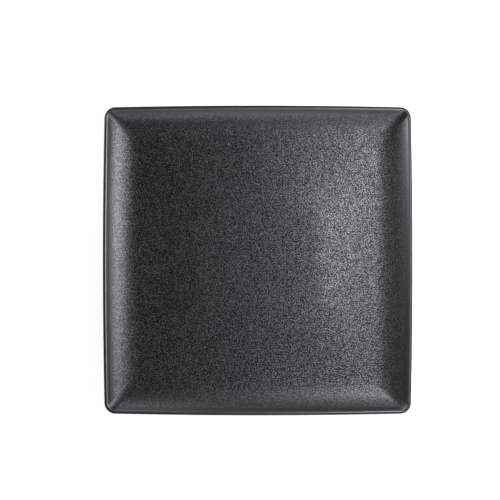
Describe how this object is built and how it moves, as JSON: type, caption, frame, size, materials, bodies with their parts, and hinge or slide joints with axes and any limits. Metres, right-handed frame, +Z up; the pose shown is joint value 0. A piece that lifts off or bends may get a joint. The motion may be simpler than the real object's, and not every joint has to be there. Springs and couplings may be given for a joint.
{
  "type": "square dinner plate",
  "caption": "Square dinner plate with gently bowed sides, rounded corners, a hollow curved wall, a thin rounded lip and a low foot ring, in grained matte charcoal glaze.",
  "frame": {"origin": "middle of the square that the foot ring stands on, at table level", "axes": "+Z up out of the plate's face; +X and +Y along two neighbouring sides, with +X to the right and +Y to the top of the picture"},
  "size_m": [0.265, 0.265, 0.0216],
  "materials": {
    "stoneware": "matte",
    "grained_glaze": "matte",
    "lip_glaze": "satin",
    "smooth_glaze": "satin"
  },
  "bodies": {
    "root": {"clay_body": "stoneware", "foot_ring": "stoneware", "face_glaze": "grained_glaze", "rim_glaze": "lip_glaze", "outer_glaze": "smooth_glaze", "recess_glaze": "smooth_glaze"}
  },
  "joints": []
}
